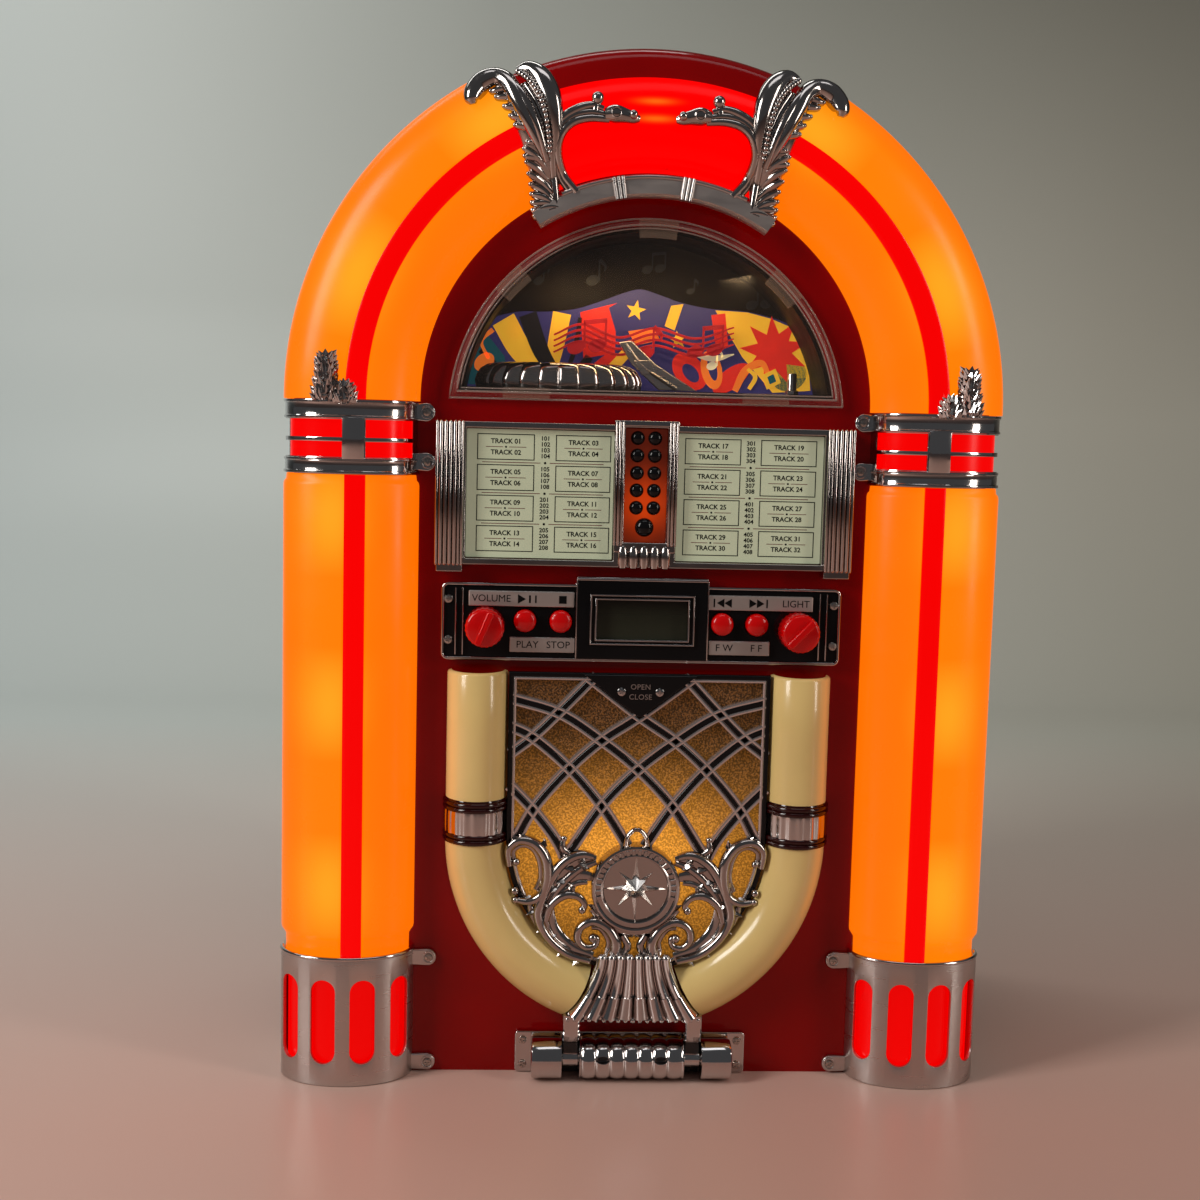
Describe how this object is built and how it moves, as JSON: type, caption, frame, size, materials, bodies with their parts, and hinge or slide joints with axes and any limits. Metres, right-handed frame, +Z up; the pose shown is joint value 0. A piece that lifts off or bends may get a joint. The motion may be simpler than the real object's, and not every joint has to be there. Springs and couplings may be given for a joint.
{
  "type": "tabletop jukebox",
  "caption": "Arched tabletop jukebox with lit tubes, dome window, title panel, control strip and a bottom-hinged grille door over a disc deck.",
  "frame": {"origin": "centre of the footprint, on the surface that the jukebox stands on", "axes": "+Z up, +X to the right seen from the front, +Y from the front to the back"},
  "size_m": [0.34, 0.2, 0.495],
  "materials": {
    "maroon_plastic": "deep glossy maroon",
    "black_plastic": "fine-grained black moulding",
    "orange_lens": "translucent orange, lit from behind",
    "red_lens": "translucent red, lit from behind",
    "chrome_plating": "mirror chrome plating on plastic",
    "clear_plastic": "clear polished",
    "printed_card": "satin printed",
    "red_plastic": "glossy red",
    "cream_plastic": "glossy cream",
    "gold_mesh": "glittering woven mesh",
    "display_glass": "dark display window",
    "steel": "bright zinc plate",
    "circuit_board": "green board"
  },
  "bodies": {
    "cabinet": {"cabinet_shell": "maroon_plastic", "front_panel": "maroon_plastic", "rear_cover": "black_plastic", "dome_housing": "black_plastic", "selector_keypad": "black_plastic", "cd_chassis": "black_plastic", "left_speaker": "black_plastic", "right_speaker": "black_plastic", "power_inlet": "black_plastic", "left_column_lens": "orange_lens", "right_column_lens": "orange_lens", "left_arch_lens": "orange_lens", "right_arch_lens": "orange_lens", "selector_panel": "orange_lens", "left_column_stripe": "red_lens", "right_column_stripe": "red_lens", "left_arch_stripe": "red_lens", "right_arch_stripe": "red_lens", "top_lens": "red_lens", "left_band_insert": "red_lens", "right_band_insert": "red_lens", "left_base_insert": "red_lens", "right_base_insert": "red_lens", "crest": "chrome_plating", "left_band": "chrome_plating", "right_band": "chrome_plating", "left_base_sleeve": "chrome_plating", "right_base_sleeve": "chrome_plating", "changer_ring": "chrome_plating", "title_bezel": "chrome_plating", "control_bezel": "chrome_plating", "hinge_bracket": "chrome_plating", "dome_window": "clear_plastic", "artwork_card": "printed_card", "left_title_card": "printed_card", "right_title_card": "printed_card", "display_module": "display_glass", "tonearm": "steel", "hinge_pin": "steel", "guide_rod": "steel", "spindle_motor": "steel", "power_transformer": "steel", "control_board": "circuit_board", "main_board": "circuit_board", "left_lamp_board": "circuit_board", "right_lamp_board": "circuit_board", "door_lamp": "circuit_board"},
    "door": {"door_grille": "chrome_plating", "door_mesh": "gold_mesh", "left_door_tube": "cream_plastic", "right_door_tube": "cream_plastic"},
    "volume_knob": {"volume_knob": "red_plastic"},
    "light_knob": {"light_knob": "red_plastic"},
    "play_button": {"play_button": "red_plastic"},
    "stop_button": {"stop_button": "red_plastic"},
    "previous_button": {"previous_button": "red_plastic"},
    "next_button": {"next_button": "red_plastic"},
    "disc_hub": {"disc_hub": "black_plastic"},
    "pickup_sled": {"pickup_sled": "black_plastic"},
    "latch_plunger": {"latch_plunger": "steel"}
  },
  "joints": [
    {"name": "door_swing", "type": "hinge", "parent": "cabinet", "child": "door", "pos_m": [0, -0.084, 0.0104], "axis": [1, 0, 0], "range_deg": [0, 60]},
    {"name": "volume_turn", "type": "hinge", "parent": "cabinet", "child": "volume_knob", "pos_m": [-0.0743, -0.074, 0.2205], "axis": [0, 1, 0], "range_deg": [-140, 140]},
    {"name": "light_turn", "type": "hinge", "parent": "cabinet", "child": "light_knob", "pos_m": [0.0743, -0.074, 0.2205], "axis": [0, 1, 0], "range_deg": [-140, 140]},
    {"name": "play_button_press", "type": "slide", "parent": "cabinet", "child": "play_button", "axis": [0, 1, 0], "range_m": [0, 0.0015], "stiffness_N_per_m": 400},
    {"name": "stop_button_press", "type": "slide", "parent": "cabinet", "child": "stop_button", "axis": [0, 1, 0], "range_m": [0, 0.0015], "stiffness_N_per_m": 400},
    {"name": "previous_button_press", "type": "slide", "parent": "cabinet", "child": "previous_button", "axis": [0, 1, 0], "range_m": [0, 0.0015], "stiffness_N_per_m": 400},
    {"name": "next_button_press", "type": "slide", "parent": "cabinet", "child": "next_button", "axis": [0, 1, 0], "range_m": [0, 0.0015], "stiffness_N_per_m": 400},
    {"name": "disc_spin", "type": "hinge", "parent": "cabinet", "child": "disc_hub", "pos_m": [0, -0.074, 0.125], "axis": [0, 1, 0], "continuous": true},
    {"name": "pickup_slide", "type": "slide", "parent": "cabinet", "child": "pickup_sled", "axis": [1, 0, 0], "range_m": [0, 0.026]},
    {"name": "latch_press", "type": "slide", "parent": "cabinet", "child": "latch_plunger", "axis": [0, 1, 0], "range_m": [0, 0.003], "stiffness_N_per_m": 500}
  ]
}
